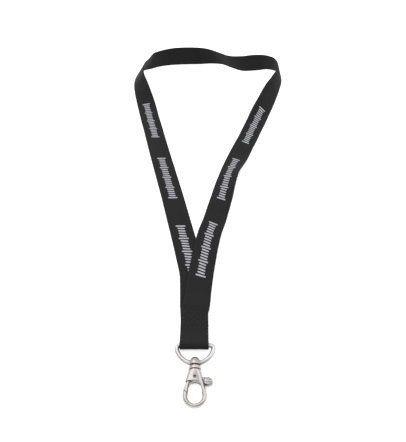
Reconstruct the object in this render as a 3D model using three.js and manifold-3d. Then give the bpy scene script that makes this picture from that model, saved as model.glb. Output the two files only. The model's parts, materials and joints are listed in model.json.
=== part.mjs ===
// A neck lanyard lying flat: a woven strap sewn into a loop round a D-ring, and a swivel snap hook.
// Millimetres. +Y runs from the hook towards the neck, +Z is up, the table is z = 0.
import * as THREE from 'three';
import { mergeVertices } from 'three/addons/utils/BufferGeometryUtils.js';
import Module from 'manifold-3d';

const wasm = await Module();
wasm.setup();

// ---- Driving dimensions ----

// Strap
const STRAP_WIDTH = 20;
const STRAP_THICKNESS = 0.9;
const LAYER_GAP = 0.3;            // between strap layers that lie on each other
const REST_GAP = 0.3;             // the free runs don't lie dead flat on the table
const TAIL_LENGTH = 30;           // folded end, measured from the ring's bar
const STITCH_START = 14;          // sewn box, measured from the ring's bar
const STITCH_END = 27;
const STITCH_INSET = 1.6;         // sewn box to the strap's edge
const THREAD_WIDTH = 0.8;
const THREAD_HEIGHT = 0.3;

// D-ring
const RING_WIRE = 3.2;
const RING_SIDE_CLEARANCE = 1.4;    // inside the ring, each side of the strap
const RING_OFFSET = 0.7;          // the ring hangs a little to one side of the strap
const RING_CORNER = 2.4;
const RING_BAR_SETBACK = 0;     // bar to the bow's centre
const RING_BUTT_GAP = 0.4;        // the wire's ends meet inside the strap's fold
const WIRE_CLEARANCE = 0.25;

// Swivel eye
const COLLAR_DIAMETER = 8.3;
const COLLAR_THICKNESS = 2;
const COLLAR_CHAMFER = 0.2;
const NECK_DIAMETER = 6.2;
const NECK_LENGTH = 1.1;
const DOME_LIP = 0.4;
const EYE_RISE = 0.9;             // ring's wire above the collar
const EYE_HEIGHT = 4.5;           // ring wire's centre to the top of the eye
const SHANK_DIAMETER = 2.8;
const SHANK_HEAD_DIAMETER = 4.2;
const SHANK_HEAD_THICKNESS = 1;
const TURNING_CLEARANCE = 0.25;

// Snap hook. Its own zero is the lever's rivet.
const HOOK_TOP = 5.3;
const HOOK_TOP_WALL = 2;          // solid metal round the shank
const HOOK_TOP_CHAMFER = 0.4;
const BELL_BOTTOM = 0.6;          // the round top ends here and the flat cheeks go on
const CAST_ROUNDING = 0.3;
const CHEEK_THICKNESS = 6.4;
const CHEEK_LEFT = 6.35;          // widest, on the gate's side
const CHEEK_LEFT_END = 2.8;       // rivet down to the cheeks' edge above the gate
const CHEEK_RIGHT = 5.9;
const CHEEK_RIGHT_END = 5.4;
const CLAW_THICKNESS = 4.6;
const CLAW_RADIUS = 8;
const CLAW_CENTRE = [0, -11.2];
const OPENING_RADIUS = 4.65;
const OPENING_CENTRE = [0.2, -11.9];
const OPENING_TOP_RADIUS = 4.2;
const OPENING_TOP_CENTRE = [0.35, -6.4];
const LEVER_THICKNESS = 2.5;
const LEVER_SIDE_CLEARANCE = 0.22;
const LEVER_BACK_CLEARANCE = 0.35;
const ARM_BACK = [[-1.9, 1.4], [-5.1, -1.8]];
const GATE_GAP = 0.35;            // between the gate's tip and the claw's
const LEVER_HUB_RADIUS = 1.95;
const LEVER_SWEEP_RADIUS = 5;     // room for the lever's heel as it turns
const THUMB_PAD_THICKNESS = 5;
const THUMB_PAD_ROUNDING = 0.5;
const THUMB_PAD_REACH = 12;
const RIVET_DIAMETER = 1.7;
const RIVET_RECESS = 0.3;
const RIVET_CLEARANCE = 0.12;
const SPRING_WIRE = 0.36;
const SPRING_RADIUS = 1.35;
const SPRING_TURNS = 1.5;
const SPRING_PITCH = 0.42;
const SPRING_LEG = 0.9;
const SPRING_START = 0.25;        // above the lever's middle plane
const SPRING_CLEARANCE = 0.3;

// ---- Sizes that follow ----

const layerPitch = STRAP_THICKNESS + LAYER_GAP;
const lowLayer = STRAP_THICKNESS / 2;
const middleLayer = lowLayer + layerPitch;
const topLayer = middleLayer + layerPitch;
const loopRadius = RING_WIRE / 2 + WIRE_CLEARANCE + STRAP_THICKNESS / 2;
const axisHeight = Math.max(COLLAR_DIAMETER / 2, loopRadius + STRAP_THICKNESS / 2);
const bowRadius = STRAP_WIDTH / 2 + RING_SIDE_CLEARANCE + RING_WIRE / 2;
const ringDepth = bowRadius + RING_BAR_SETBACK;
const collarTop = HOOK_TOP + TURNING_CLEARANCE + COLLAR_THICKNESS;
const eyeCentre = collarTop + EYE_RISE + RING_WIRE / 2;
const pivotY = -ringDepth - eyeCentre;
const slotHalf = LEVER_THICKNESS / 2 + LEVER_SIDE_CLEARANCE;
const collarHalf = COLLAR_DIAMETER / 2;
const headTop = HOOK_TOP - HOOK_TOP_WALL - TURNING_CLEARANCE;
const pocketBottom = headTop - SHANK_HEAD_THICKNESS - 4 * TURNING_CLEARANCE;

// ---- Helpers ----

const steel = new THREE.MeshStandardMaterial({ color: 0xb9b6b0, roughness: 0.25, metalness: 1 });
const castMetal = new THREE.MeshStandardMaterial({ color: 0xb4aea4, roughness: 0.3, metalness: 1 });
const darkSteel = new THREE.MeshStandardMaterial({ color: 0x57544f, roughness: 0.4, metalness: 1 });
const blackStrap = new THREE.MeshStandardMaterial({ color: 0x26272a, roughness: 0.9, metalness: 0 });
const blackThread = new THREE.MeshStandardMaterial({ color: 0x1c1c1e, roughness: 0.8, metalness: 0 });

function namedMesh(name, geometry, material) {
  const mesh = new THREE.Mesh(geometry, material);
  mesh.name = name;
  return mesh;
}

function toSolid(geometry) {
  const bare = geometry.index ? geometry.toNonIndexed() : geometry.clone();
  bare.deleteAttribute('normal');
  bare.deleteAttribute('uv');
  const merged = mergeVertices(bare, 1e-4);
  return new wasm.Manifold(new wasm.Mesh({
    numProp: 3,
    vertProperties: new Float32Array(merged.attributes.position.array),
    triVerts: new Uint32Array(merged.index.array),
  }));
}

function toGeometry(solid) {
  const mesh = solid.getMesh();
  const geometry = new THREE.BufferGeometry();
  geometry.setAttribute('position', new THREE.BufferAttribute(new Float32Array(mesh.vertProperties), 3));
  geometry.setIndex(new THREE.BufferAttribute(new Uint32Array(mesh.triVerts), 1));
  return geometry;
}

function outline(points) {
  return new THREE.Shape(points.map(([x, y]) => new THREE.Vector2(x, y)));
}

// A flat shape made thick, centred on the middle plane, with its edges rounded by `round`.
function slab(shape, thickness, round = 0) {
  const geometry = new THREE.ExtrudeGeometry(shape, {
    depth: thickness - 2 * round,
    curveSegments: 20,
    bevelEnabled: round > 0,
    bevelThickness: round,
    bevelSize: round,
    bevelOffset: -round,
    bevelSegments: 3,
  });
  geometry.translate(0, 0, round - thickness / 2);
  return toSolid(geometry);
}

function turnedAboutY(profile, segments = 40) {
  return toSolid(new THREE.LatheGeometry(profile.map(([r, y]) => new THREE.Vector2(r, y)), segments));
}

function discAt(x, y, radius, thickness, z = 0) {
  const geometry = new THREE.CylinderGeometry(radius, radius, thickness, 32);
  geometry.rotateX(Math.PI / 2);
  geometry.translate(x, y, z);
  return toSolid(geometry);
}

// ---- The strap's route ----

// Each station is a point on the strap's centre line and its roll in degrees.
// Roll 0 lies flat; a negative roll lifts the edge on the inside of the neck loop.
// The right-hand run goes from the sewn end to the neck, then the left-hand run comes back.
const rightRun = [
  [1.2, 32, 'over'], [2.5, 45, 'over'], [4.3, 60, 'over'], [6.4, 74, 'over'], [8.9, 89, 'over'],
  [12, 104, 'over'], [16, 118, 'over'], [19.8, 133, 'over'],
];
const neckRun = [
  [23.4, 147, 1.8, 7], [26.8, 161, 3.4, 16], [31, 176, 4.1, 20], [36, 190, 2.4, 10],
  [41.4, 204, 0.9, 0], [46.7, 218, 0.8, 0], [52, 231, 0.8, 0], [57.3, 245, 1.1, -2],
  [63, 259, 2.2, -9], [68.8, 273, 4.7, -23], [75, 286, 7.8, -34], [81, 299, 11.3, -44],
  [88, 312, 15.8, -62], [93.4, 325, 20, -72], [91.2, 339, 21.7, -69], [80.7, 349, 20.2, -77],
  [67, 353.3, 17.3, -89], [52.3, 356.3, 14.6, -83], [39, 363, 13.2, -68], [27, 372, 12.7, -68],
  [14, 378.7, 11.6, -84], [-0.5, 381.4, 10.8, -104], [-15.5, 381.8, 10.6, -112],
  [-30.4, 379.8, 10.8, -106], [-43.6, 373.5, 12, -92], [-53.8, 363, 14.4, -83],
  [-61.2, 350, 16.6, -61], [-66.2, 336, 17.7, -57], [-66.8, 321.5, 16.1, -52],
  [-63.3, 308, 11.3, -39], [-59, 295, 5.8, -24], [-55, 281, 2.4, -9], [-51.4, 266, 1.2, -3],
];
const leftRun = [
  [-47.7, 252, 'under'], [-44.1, 237, 'under'], [-37, 208, 'under'], [-29.7, 179, 'under'],
  [-22.4, 150, 'under'], [-15.5, 121, 'under'], [-8.7, 92, 'under'], [-5.4, 77, 'under'],
  [-2.5, 63, 'under'], [-1.5, 48, 'under'],
];

// How far two runs stand apart, centre to centre, where the right-hand one is at (x, y).
function runSpacing(x, y) {
  const above = leftRun.filter((station) => station[1] >= y).at(-1) ?? leftRun[0];
  const below = leftRun.find((station) => station[1] < y) ?? leftRun.at(-1);
  const share = above === below ? 0 : (y - below[1]) / (above[1] - below[1]);
  return x - THREE.MathUtils.lerp(below[0], above[0], share);
}

// The right-hand run climbs over the left-hand one, and both climb over the folded tail.
function layerHeight(x, y, lie) {
  const overTail = y < TAIL_LENGTH + 8 ? 1 : 0;
  if (lie === 'under') return lowLayer + REST_GAP * (1 - overTail) + overTail * layerPitch;
  const crosses = runSpacing(x, y) < STRAP_WIDTH + 5 ? 1 : 0;
  return lowLayer + REST_GAP + (crosses + overTail) * layerPitch;
}

function flatStations(run) {
  return run.map(([x, y, lie]) => [x, y, layerHeight(x, y, lie), 0]);
}

// The folded end: along the table, round the ring's bar, and back on top.
function foldStations() {
  const stations = [];
  const spacing = 5;
  const turns = 8;
  for (let y = TAIL_LENGTH; y > 2 * spacing + 2; y -= spacing) stations.push([0, y, lowLayer]);
  stations.push([0, 2 * spacing, lowLayer + 0.1]);
  stations.push([0, spacing, (lowLayer + axisHeight - loopRadius) / 2]);
  for (let i = 0; i <= turns; i += 1) {
    const angle = -Math.PI / 2 - (Math.PI * i) / turns;
    stations.push([0, loopRadius * Math.cos(angle), axisHeight + loopRadius * Math.sin(angle)]);
  }
  stations.push([0, spacing + 1, (topLayer + axisHeight + loopRadius) / 2]);
  for (let y = 2 * spacing + 2; y <= STITCH_END; y += spacing) stations.push([0, y, topLayer]);
  return stations;
}

// The other end stops between the fold's two layers.
function innerEndStations() {
  return [[-1, 34, middleLayer], [-0.4, 26, middleLayer], [0, 18, middleLayer], [0, 9, middleLayer]];
}

const acrossX = new THREE.Vector3(1, 0, 0);
const up = new THREE.Vector3(0, 0, 1);

function strapStations() {
  const free = [...flatStations(rightRun), ...neckRun, ...flatStations(leftRun)];
  const fold = foldStations().map(([x, y, z]) => ({ point: new THREE.Vector3(x, y, z), across: acrossX }));
  const end = innerEndStations().map(([x, y, z]) => (
    { point: new THREE.Vector3(x, y, z), across: acrossX.clone().negate() }
  ));
  const points = free.map(([x, y, z]) => new THREE.Vector3(x, y, z));
  const body = free.map(([, , , roll], i) => {
    const before = points[Math.max(0, i - 1)];
    const after = points[Math.min(points.length - 1, i + 1)];
    const along = after.clone().sub(before).normalize();
    const side = along.clone().cross(up).normalize();
    const lift = side.clone().cross(along);
    const angle = THREE.MathUtils.degToRad(roll);
    const across = side.multiplyScalar(Math.cos(angle)).add(lift.multiplyScalar(Math.sin(angle)));
    return { point: points[i], across };
  });
  return [...fold, ...body, ...end];
}

// A closed band: four corners at each step along the route, and a cap at each end.
function strapGeometry() {
  const stations = strapStations();
  const centreLine = new THREE.CatmullRomCurve3(stations.map((s) => s.point), false, 'centripetal');
  const acrossLine = new THREE.CatmullRomCurve3(stations.map((s) => s.across), false, 'catmullrom');
  const stepsEach = 4;
  const steps = (stations.length - 1) * stepsEach;
  const positions = [];
  for (let i = 0; i <= steps; i += 1) {
    const t = i / steps;
    const point = centreLine.getPoint(t);
    const along = centreLine.getTangent(t);
    const across = acrossLine.getPoint(t);
    across.addScaledVector(along, -across.dot(along)).normalize();
    const face = across.clone().cross(along).multiplyScalar(STRAP_THICKNESS / 2);
    across.multiplyScalar(STRAP_WIDTH / 2);
    for (const [a, f] of [[1, 1], [-1, 1], [-1, -1], [1, -1]]) {
      const corner = point.clone().addScaledVector(across, a).addScaledVector(face, f);
      positions.push(corner.x, corner.y, corner.z);
    }
  }
  const index = [0, 1, 2, 0, 2, 3];
  for (let i = 0; i < steps; i += 1) {
    for (let side = 0; side < 4; side += 1) {
      const a = i * 4 + side;
      const b = i * 4 + ((side + 1) % 4);
      index.push(a, a + 4, b, b, a + 4, b + 4);
    }
  }
  const last = steps * 4;
  index.push(last, last + 2, last + 1, last, last + 3, last + 2);
  const geometry = new THREE.BufferGeometry();
  geometry.setAttribute('position', new THREE.Float32BufferAttribute(positions, 3));
  geometry.setIndex(index);
  return geometry;
}

// A sewn box with a cross, as one flat net of thread on the top layer.
function stitchingGeometry() {
  const half = STRAP_WIDTH / 2 - STITCH_INSET;
  const middle = (STITCH_START + STITCH_END) / 2;
  const reach = (STITCH_END - STITCH_START) / 2;
  const length = Math.hypot(half, reach);
  const box = outline([[-half, -reach], [half, -reach], [half, reach], [-half, reach]]);
  const inside = new THREE.Path([
    [-1, -1], [-1, 1], [1, 1], [1, -1],
  ].map(([x, y]) => new THREE.Vector2(x * (half - THREAD_WIDTH), y * (reach - THREAD_WIDTH))));
  box.holes.push(inside);
  const bar = outline([
    [-length + THREAD_WIDTH, -THREAD_WIDTH / 2], [length - THREAD_WIDTH, -THREAD_WIDTH / 2],
    [length - THREAD_WIDTH, THREAD_WIDTH / 2], [-length + THREAD_WIDTH, THREAD_WIDTH / 2],
  ]);
  const slope = THREE.MathUtils.radToDeg(Math.atan2(reach, half));
  const net = slab(box, THREAD_HEIGHT)
    .add(slab(bar, THREAD_HEIGHT).rotate([0, 0, slope]))
    .add(slab(bar, THREAD_HEIGHT).rotate([0, 0, -slope]));
  const height = topLayer + STRAP_THICKNESS / 2 + LAYER_GAP / 2 + THREAD_HEIGHT / 2;
  return toGeometry(net.translate([0, middle, height]));
}

// ---- The D-ring: a straight bar, two small corners and a half-round bow ----

// An arc in the ring's own plane. Angles run from +X towards +Y.
class FlatArc extends THREE.Curve {
  constructor(x, y, radius, from, to) {
    super();
    Object.assign(this, { x, y, radius, from, to });
  }

  getPoint(t) {
    const angle = THREE.MathUtils.lerp(this.from, this.to, t);
    return new THREE.Vector3(this.x + this.radius * Math.cos(angle), this.y + this.radius * Math.sin(angle), 0);
  }
}

function ringGeometry() {
  // Each corner's arc touches both the bar and the bow.
  const drop = RING_CORNER - RING_BAR_SETBACK;
  const cornerX = Math.sqrt((bowRadius - RING_CORNER) ** 2 - drop ** 2);
  const tilt = Math.atan2(drop, cornerX);
  const flat = (x) => new THREE.Vector3(x, 0, 0);
  const path = new THREE.CurvePath();
  path.add(new THREE.LineCurve3(flat(-RING_BUTT_GAP / 2), flat(-cornerX)));
  path.add(new FlatArc(-cornerX, -RING_CORNER, RING_CORNER, Math.PI / 2, Math.PI + tilt));
  path.add(new FlatArc(0, -RING_BAR_SETBACK, bowRadius, Math.PI + tilt, 2 * Math.PI - tilt));
  path.add(new FlatArc(cornerX, -RING_CORNER, RING_CORNER, -tilt, Math.PI / 2));
  path.add(new THREE.LineCurve3(flat(cornerX), flat(RING_BUTT_GAP / 2)));
  const section = new THREE.Shape().absarc(0, 0, RING_WIRE / 2, 0, 2 * Math.PI);
  return new THREE.ExtrudeGeometry(section, { steps: 84, curveSegments: 7, extrudePath: path });
}

// ---- The swivel eye: a domed eye, a turning collar, and a shank with a riveted head ----

function eyeGeometry() {
  const shank = SHANK_DIAMETER / 2;
  const head = SHANK_HEAD_DIAMETER / 2;
  const collar = collarHalf;
  const collarBottom = HOOK_TOP + TURNING_CLEARANCE;
  const neckTop = collarTop + NECK_LENGTH;
  const profile = [
    [0, headTop - SHANK_HEAD_THICKNESS], [head * 0.8, headTop - SHANK_HEAD_THICKNESS],
    [head, headTop - SHANK_HEAD_THICKNESS * 0.6], [head, headTop], [shank, headTop],
    [shank, collarBottom], [collar, collarBottom], [collar, collarTop],
    [NECK_DIAMETER / 2, collarTop + COLLAR_CHAMFER], [NECK_DIAMETER / 2, neckTop],
  ];
  const domeBottom = neckTop + DOME_LIP;
  const domeHeight = eyeCentre + EYE_HEIGHT - domeBottom;
  const domeSteps = 10;
  for (let i = 0; i <= domeSteps; i += 1) {
    const angle = (Math.PI / 2) * (i / domeSteps);
    const radius = i === domeSteps ? 0 : (collar - COLLAR_CHAMFER) * Math.cos(angle);
    profile.push([radius, domeBottom + domeHeight * Math.sin(angle)]);
  }
  // The hole widens towards its mouths, so the curved wire can turn in it.
  const bore = [];
  const reach = collar + 1;
  const boreSteps = 16;
  for (let i = 0; i <= boreSteps; i += 1) {
    const along = -reach + (2 * reach * i) / boreSteps;
    const rise = bowRadius - Math.sqrt(bowRadius ** 2 - along ** 2);
    const slope = Math.asin(along / bowRadius);
    bore.push([rise + RING_WIRE / 2 / Math.cos(slope) + WIRE_CLEARANCE, along]);
  }
  const boreProfile = [[0, -reach], ...bore, [0, reach]];
  const hole = turnedAboutY(boreProfile, 28).rotate([0, 0, 90]).translate([0, eyeCentre, 0]);
  return toGeometry(turnedAboutY(profile).subtract(hole));
}

// ---- The snap hook ----

function arcPoints(centre, radius, fromDegrees, toDegrees, steps = 16) {
  const points = [];
  for (let i = 0; i <= steps; i += 1) {
    const angle = THREE.MathUtils.degToRad(fromDegrees + ((toDegrees - fromDegrees) * i) / steps);
    points.push([centre[0] + radius * Math.cos(angle), centre[1] + radius * Math.sin(angle)]);
  }
  return points;
}

const clawStart = 18;             // degrees: the outer arc begins here, below the right cheek
const tipAngle = 156;             // where the claw's tip meets the gate, outside
const tipInnerAngle = 168;        // and inside
const tipOuter = arcPoints(CLAW_CENTRE, CLAW_RADIUS, tipAngle, tipAngle, 1)[0];
const tipInner = arcPoints(OPENING_CENTRE, OPENING_RADIUS, tipInnerAngle, tipInnerAngle, 1)[0];

// A line's two ends moved sideways, to the left of its direction.
function movedLeft([a, b], distance) {
  const length = Math.hypot(b[0] - a[0], b[1] - a[1]);
  const shift = [(-(b[1] - a[1]) * distance) / length, ((b[0] - a[0]) * distance) / length];
  return [[a[0] + shift[0], a[1] + shift[1]], [b[0] + shift[0], b[1] + shift[1]]];
}

function hookBodyGeometry() {
  const outerArc = arcPoints(CLAW_CENTRE, CLAW_RADIUS, clawStart, tipAngle - 360, 40);
  const rightCorner = [CHEEK_RIGHT, -CHEEK_RIGHT_END];
  const claw = outline([
    [CHEEK_RIGHT - 0.2, -CHEEK_LEFT_END], rightCorner,
    [(rightCorner[0] + outerArc[0][0]) / 2, (rightCorner[1] + outerArc[0][1]) / 2 - CAST_ROUNDING],
    ...outerArc,
    ...arcPoints(OPENING_CENTRE, OPENING_RADIUS, tipInnerAngle, 365, 30),
    ...arcPoints(OPENING_TOP_CENTRE, OPENING_TOP_RADIUS, 5, 60, 8),
    [2.6, -2],
  ]);
  const cheeks = outline([
    [-collarHalf, HOOK_TOP], [-CHEEK_LEFT, -CHEEK_LEFT_END], [-1.6, 0.45 - CHEEK_LEFT_END],
    ...arcPoints(OPENING_TOP_CENTRE, OPENING_TOP_RADIUS, 100, 5, 12),
    [4.9, -6.9], rightCorner, [CHEEK_RIGHT - 0.2, -2.5], [collarHalf, HOOK_TOP],
  ]);
  const bell = turnedAboutY([
    [0, BELL_BOTTOM], [collarHalf + 0.6, BELL_BOTTOM], [collarHalf, HOOK_TOP - HOOK_TOP_CHAMFER],
    [collarHalf - HOOK_TOP_CHAMFER, HOOK_TOP], [0, HOOK_TOP],
  ]);
  const reach = CLAW_RADIUS + COLLAR_DIAMETER;
  const upperHalf = outline([[-reach, 0], [reach, 0], [reach, reach], [-reach, reach]]);
  const bellLimits = slab(upperHalf, COLLAR_DIAMETER - COLLAR_CHAMFER);
  let body = slab(claw, CLAW_THICKNESS, CAST_ROUNDING)
    .add(slab(cheeks, CHEEK_THICKNESS, CAST_ROUNDING))
    .add(bell.intersect(bellLimits));
  // The slot that the lever turns in, open to the opening, the gate and the thumb pad.
  // Its left wall stands behind the lever's back, which turns away from it.
  const [backTop, backBottom] = movedLeft([ARM_BACK[1], ARM_BACK[0]], LEVER_BACK_CLEARANCE).reverse();
  const slotTop = LEVER_HUB_RADIUS + LEVER_BACK_CLEARANCE;
  const slotOutline = [
    [backBottom[0] - 4, backBottom[1] - 4], backBottom, backTop, [backTop[0] + 0.6, slotTop],
    [2.2, slotTop], [3, 3.6], [reach, 3.6], [reach, -4], [1, -4], [-1.3, -7], [-reach, -7],
  ];
  const slot = slab(outline(slotOutline), 2 * slotHalf);
  body = body.subtract(slot.subtract(discAt(CHEEK_RIGHT, -8.4, 2.6, CHEEK_THICKNESS)));
  const sweepLimits = outline([
    [-reach, -reach], [reach, -reach], [reach, slotTop], [backTop[0] + 0.6, slotTop], backTop, backBottom,
    [backBottom[0] - 4, backBottom[1] - 4],
  ]);
  body = body.subtract(
    discAt(0, 0, LEVER_SWEEP_RADIUS, 2 * slotHalf).intersect(slab(sweepLimits, CHEEK_THICKNESS)),
  );
  // The shank's bore, and the pocket that its riveted head turns in.
  const pocketTop = HOOK_TOP - HOOK_TOP_WALL;
  const pocketRadius = SHANK_HEAD_DIAMETER / 2 + TURNING_CLEARANCE;
  const boreRadius = SHANK_DIAMETER / 2 + TURNING_CLEARANCE;
  const bore = turnedAboutY([
    [0, pocketBottom], [pocketRadius, pocketBottom], [pocketRadius, pocketTop],
    [boreRadius, pocketTop], [boreRadius, HOOK_TOP + 1], [0, HOOK_TOP + 1],
  ]);
  const rivetHole = discAt(0, 0, RIVET_DIAMETER / 2 + RIVET_CLEARANCE, CHEEK_THICKNESS + 2);
  return toGeometry(body.subtract(bore).subtract(rivetHole));
}

function leverGeometry() {
  const [gateInner, gateOuter] = movedLeft([tipOuter, tipInner], GATE_GAP).reverse();
  const rightEdge = CHEEK_RIGHT + 1.4;
  const arm = outline([
    [0, LEVER_HUB_RADIUS], ...ARM_BACK, [-6.05, -3.4], gateOuter, gateInner,
    ...arcPoints(OPENING_TOP_CENTRE, OPENING_TOP_RADIUS, 184, 65, 14),
    [3.2, -3.2], [4.5, -3.7], [rightEdge, -3.7], [rightEdge, 0.3], [1.9, 1.2],
  ]);
  const padStart = CHEEK_RIGHT + 0.7;
  const pad = outline([
    [padStart, 0.4], [padStart + 1, 0.8], [THUMB_PAD_REACH - 2, 0.2], [THUMB_PAD_REACH - 0.6, -0.8],
    [THUMB_PAD_REACH, -2.4], [THUMB_PAD_REACH, -3.9], [THUMB_PAD_REACH - 1, -5.2], [padStart + 0.5, -5.3],
  ]);
  const hub = discAt(0, 0, LEVER_HUB_RADIUS, LEVER_THICKNESS);
  const springRoom = discAt(
    0, 0, SPRING_RADIUS + SPRING_WIRE / 2 + SPRING_CLEARANCE, LEVER_THICKNESS, LEVER_THICKNESS / 2,
  );
  const rivetHole = discAt(0, 0, RIVET_DIAMETER / 2 + RIVET_CLEARANCE, LEVER_THICKNESS + 2);
  return toGeometry(
    slab(arm, LEVER_THICKNESS, CAST_ROUNDING).add(hub)
      .add(slab(pad, THUMB_PAD_THICKNESS, THUMB_PAD_ROUNDING))
      .subtract(springRoom).subtract(rivetHole),
  );
}

function rivetGeometry() {
  const geometry = new THREE.CylinderGeometry(
    RIVET_DIAMETER / 2, RIVET_DIAMETER / 2, CHEEK_THICKNESS - 2 * RIVET_RECESS, 24,
  );
  return geometry.rotateX(Math.PI / 2);
}

// A torsion spring round the rivet: one leg on the body, one on the thumb side of the lever.
class TorsionSpringCurve extends THREE.Curve {
  getPoint(t) {
    const legShare = 0.12;
    const coil = THREE.MathUtils.clamp((t - legShare) / (1 - 2 * legShare), 0, 1);
    const angle = Math.PI - coil * SPRING_TURNS * 2 * Math.PI;
    const z = SPRING_START + coil * SPRING_TURNS * SPRING_PITCH;
    const point = new THREE.Vector3(SPRING_RADIUS * Math.cos(angle), SPRING_RADIUS * Math.sin(angle), z);
    const before = Math.max(0, legShare - t) / legShare;
    const after = Math.max(0, t - 1 + legShare) / legShare;
    const direction = new THREE.Vector3(-Math.sin(angle), Math.cos(angle), 0);
    return point.addScaledVector(direction, (before - after) * SPRING_LEG);
  }
}

function springGeometry() {
  const section = new THREE.Shape().absarc(0, 0, SPRING_WIRE / 2, 0, 2 * Math.PI);
  return new THREE.ExtrudeGeometry(section, {
    steps: 40, curveSegments: 4, extrudePath: new TorsionSpringCurve(),
  });
}

// ---- Assembly ----

const strapGroup = new THREE.Group();
strapGroup.add(namedMesh('neck_strap', strapGeometry(), blackStrap));
strapGroup.add(namedMesh('end_stitching', stitchingGeometry(), blackThread));

const ring = namedMesh('d_ring', ringGeometry(), steel);
ring.position.set(RING_OFFSET, 0, axisHeight);

const hook = new THREE.Group();
hook.position.set(RING_OFFSET, pivotY, axisHeight);
hook.add(namedMesh('swivel_eye', eyeGeometry(), castMetal));
hook.add(namedMesh('hook_body', hookBodyGeometry(), castMetal));
hook.add(namedMesh('trigger_lever', leverGeometry(), castMetal));
hook.add(namedMesh('lever_rivet', rivetGeometry(), darkSteel));
hook.add(namedMesh('lever_spring', springGeometry(), darkSteel));

const lanyard = new THREE.Group();
lanyard.add(strapGroup, ring, hook);

// The frame's zero is the middle of the box that the lanyard lies in, on the table.
const box = new THREE.Box3().setFromObject(lanyard);
const middle = box.getCenter(new THREE.Vector3());
lanyard.position.set(-middle.x, -middle.y, -box.min.z);

export default lanyard;
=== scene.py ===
# %% [markdown]
# A neck lanyard, laid out on a pale table.
# A lanyard is one long ribbon, printed and cut while it is flat, then folded round a D-ring and
# sewn. A small swivel hook hangs on the ring. This lesson makes it in the same order: the ribbon is
# cut and printed flat, then laid along its route, and each metal piece is shaped, cut and plated.
# The fixed frame holds the joints and the plain solids, so every piece takes its place from there.

import json
import math

import bmesh
import bpy
import numpy as np
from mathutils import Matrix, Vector


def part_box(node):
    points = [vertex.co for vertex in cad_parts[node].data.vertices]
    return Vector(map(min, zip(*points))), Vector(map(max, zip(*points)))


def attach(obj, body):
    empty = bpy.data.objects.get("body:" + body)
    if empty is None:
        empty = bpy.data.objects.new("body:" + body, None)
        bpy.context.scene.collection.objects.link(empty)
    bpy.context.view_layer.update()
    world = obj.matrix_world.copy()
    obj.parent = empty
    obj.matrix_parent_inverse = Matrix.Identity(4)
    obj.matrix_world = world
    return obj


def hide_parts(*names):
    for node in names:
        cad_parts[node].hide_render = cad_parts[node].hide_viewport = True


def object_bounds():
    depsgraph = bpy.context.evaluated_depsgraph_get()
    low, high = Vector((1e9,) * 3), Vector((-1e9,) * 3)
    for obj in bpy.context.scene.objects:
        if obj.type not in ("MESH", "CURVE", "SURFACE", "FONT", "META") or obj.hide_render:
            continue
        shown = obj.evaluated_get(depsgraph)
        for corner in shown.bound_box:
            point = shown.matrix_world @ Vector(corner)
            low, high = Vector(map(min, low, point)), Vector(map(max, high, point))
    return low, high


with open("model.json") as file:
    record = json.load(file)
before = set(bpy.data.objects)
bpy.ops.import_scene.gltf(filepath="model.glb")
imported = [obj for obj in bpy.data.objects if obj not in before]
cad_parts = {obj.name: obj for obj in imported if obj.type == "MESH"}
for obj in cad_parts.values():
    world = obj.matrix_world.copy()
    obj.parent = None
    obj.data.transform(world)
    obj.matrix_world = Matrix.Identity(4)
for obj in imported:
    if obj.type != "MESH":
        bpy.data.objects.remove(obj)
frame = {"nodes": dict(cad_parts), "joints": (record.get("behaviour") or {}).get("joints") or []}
cad_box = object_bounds()
joints = {joint["name"]: joint for joint in frame["joints"]}
bar = Vector(joints["ring_swing"]["pos_m"])
rivet = Vector(joints["lever_open"]["pos_m"])
print("ring bar at", tuple(bar), "and the lever's rivet at", tuple(rivet))

# %% [markdown]
# The camera comes first, so that every later choice can be looked at.
# It stands in front of the hook, a forearm's length above the table, and looks down along the
# strap. From here the far end of the loop is small and the hook is close, which is the look of a
# product laid on a table. Its place is measured from the ring's bar, and it has no lens shift.

# %% Camera
RING_OFFSET = 0.0007
CAMERA_ABOVE_TABLE = 0.2942
CAMERA_BEFORE_BAR = 0.1421
CAMERA_BESIDE_STRAP = 0.0061
CAMERA_TILT = math.radians(48.5)
LENS = 36.8

strap_x = bar.x - RING_OFFSET
camera = bpy.data.objects.new("camera", bpy.data.cameras.new("camera"))
bpy.context.scene.collection.objects.link(camera)
camera.data.lens = LENS
camera.data.clip_start = 0.005
camera.location = (strap_x + CAMERA_BESIDE_STRAP, bar.y - CAMERA_BEFORE_BAR, CAMERA_ABOVE_TABLE)
camera.rotation_euler = (math.pi / 2 - CAMERA_TILT, 0, 0)
bpy.context.scene.camera = camera
print("camera at", tuple(camera.location))

# %% [markdown]
# Small helpers for working by hand in code.
# Operators act on whatever is selected, so each piece starts from nothing selected. A finished
# piece keeps its object at the origin, with its place in its points, as the frame's solids do.

# %% Helpers for selecting and editing
def start_fresh():
    """Nothing is selected, and the next primitive is on its own."""
    if bpy.context.object and bpy.context.object.mode != "OBJECT":
        bpy.ops.object.mode_set(mode="OBJECT")
    bpy.ops.object.select_all(action="DESELECT")


def pick_object(piece):
    start_fresh()
    piece.select_set(True)
    bpy.context.view_layer.objects.active = piece


def settle(piece, name):
    """The object goes to the origin, and its place goes into its points."""
    pick_object(piece)
    bpy.ops.object.transform_apply(location=True, rotation=True, scale=True)
    piece.name = name
    piece.data.name = name
    return piece


def select_edges(piece, test):
    """In edit mode, selects the edges whose two ends pass the test."""
    bpy.ops.mesh.select_mode(type="EDGE")
    bpy.ops.mesh.select_all(action="DESELECT")
    edges = bmesh.from_edit_mesh(piece.data)
    for edge in edges.edges:
        if test(edge.verts[0].co, edge.verts[1].co):
            edge.select_set(True)
    bmesh.update_edit_mesh(piece.data)


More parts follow.
